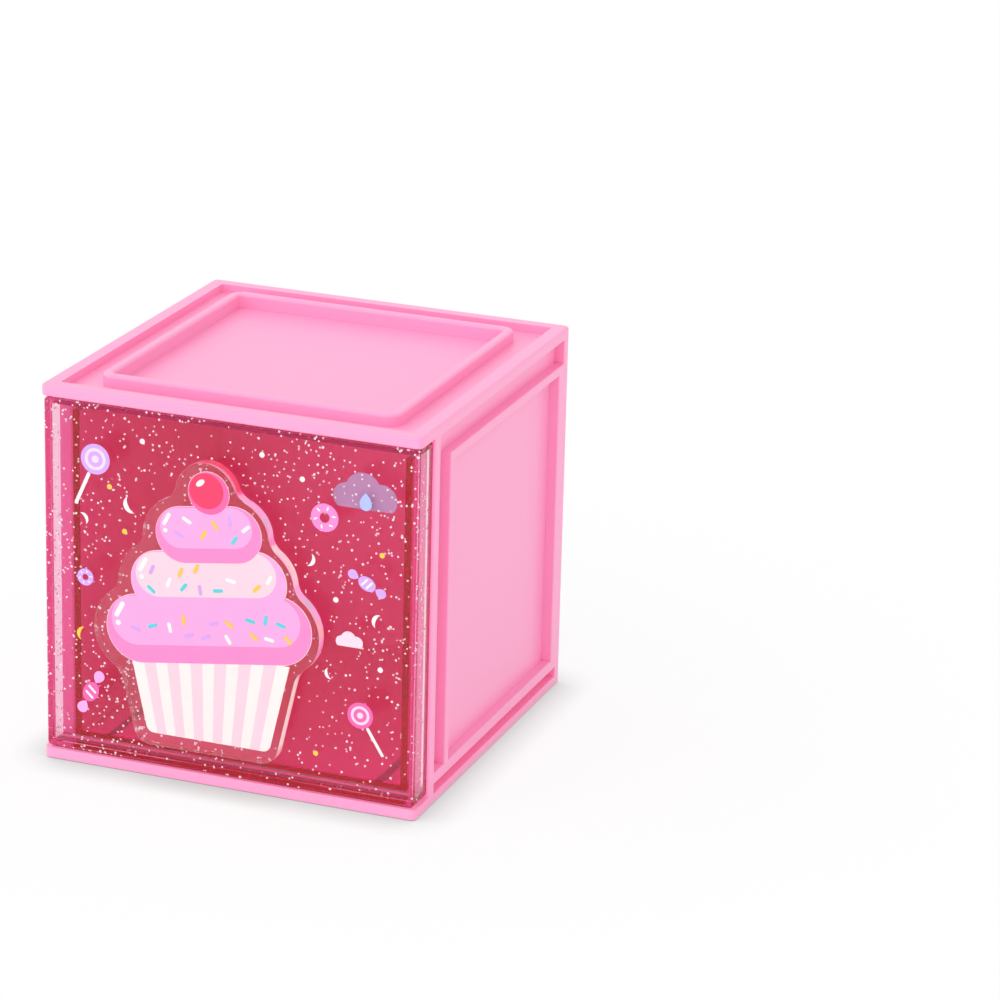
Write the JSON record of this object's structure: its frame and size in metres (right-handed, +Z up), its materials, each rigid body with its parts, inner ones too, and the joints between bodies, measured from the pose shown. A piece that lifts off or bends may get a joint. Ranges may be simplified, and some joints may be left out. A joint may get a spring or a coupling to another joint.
{
  "type": "desk storage box",
  "caption": "Stackable cube-shaped desk box: an opaque ribbed casing with a clear drawer that slides out by the thick clear badge on its front.",
  "frame": {"origin": "on the ground, under the centre of the bounding box of the whole object, badge included", "axes": "+Z up, +X to the right of someone facing the drawer, -Y the way the drawer opens"},
  "size_m": [0.095, 0.1002, 0.094],
  "materials": {
    "casing_plastic": "glossy moulded pink plastic",
    "clear_tint": "clear moulded plastic with a pink tint",
    "clear_glitter": "clear pink plastic with white glitter in it",
    "clear_acrylic": "polished clear acrylic",
    "printed_film": "printed film with a white back",
    "mounting_sheet": "clear adhesive sheet"
  },
  "bodies": {
    "box": {"casing": "casing_plastic"},
    "drawer": {"drawer_tray": "clear_tint", "front_cover": "clear_glitter", "badge_adhesive": "mounting_sheet", "badge_film": "printed_film", "badge_plate": "clear_acrylic"}
  },
  "joints": [
    {"name": "drawer_slide", "type": "slide", "parent": "box", "child": "drawer", "axis": [0, -1, 0], "range_m": [0, 0.068]}
  ]
}
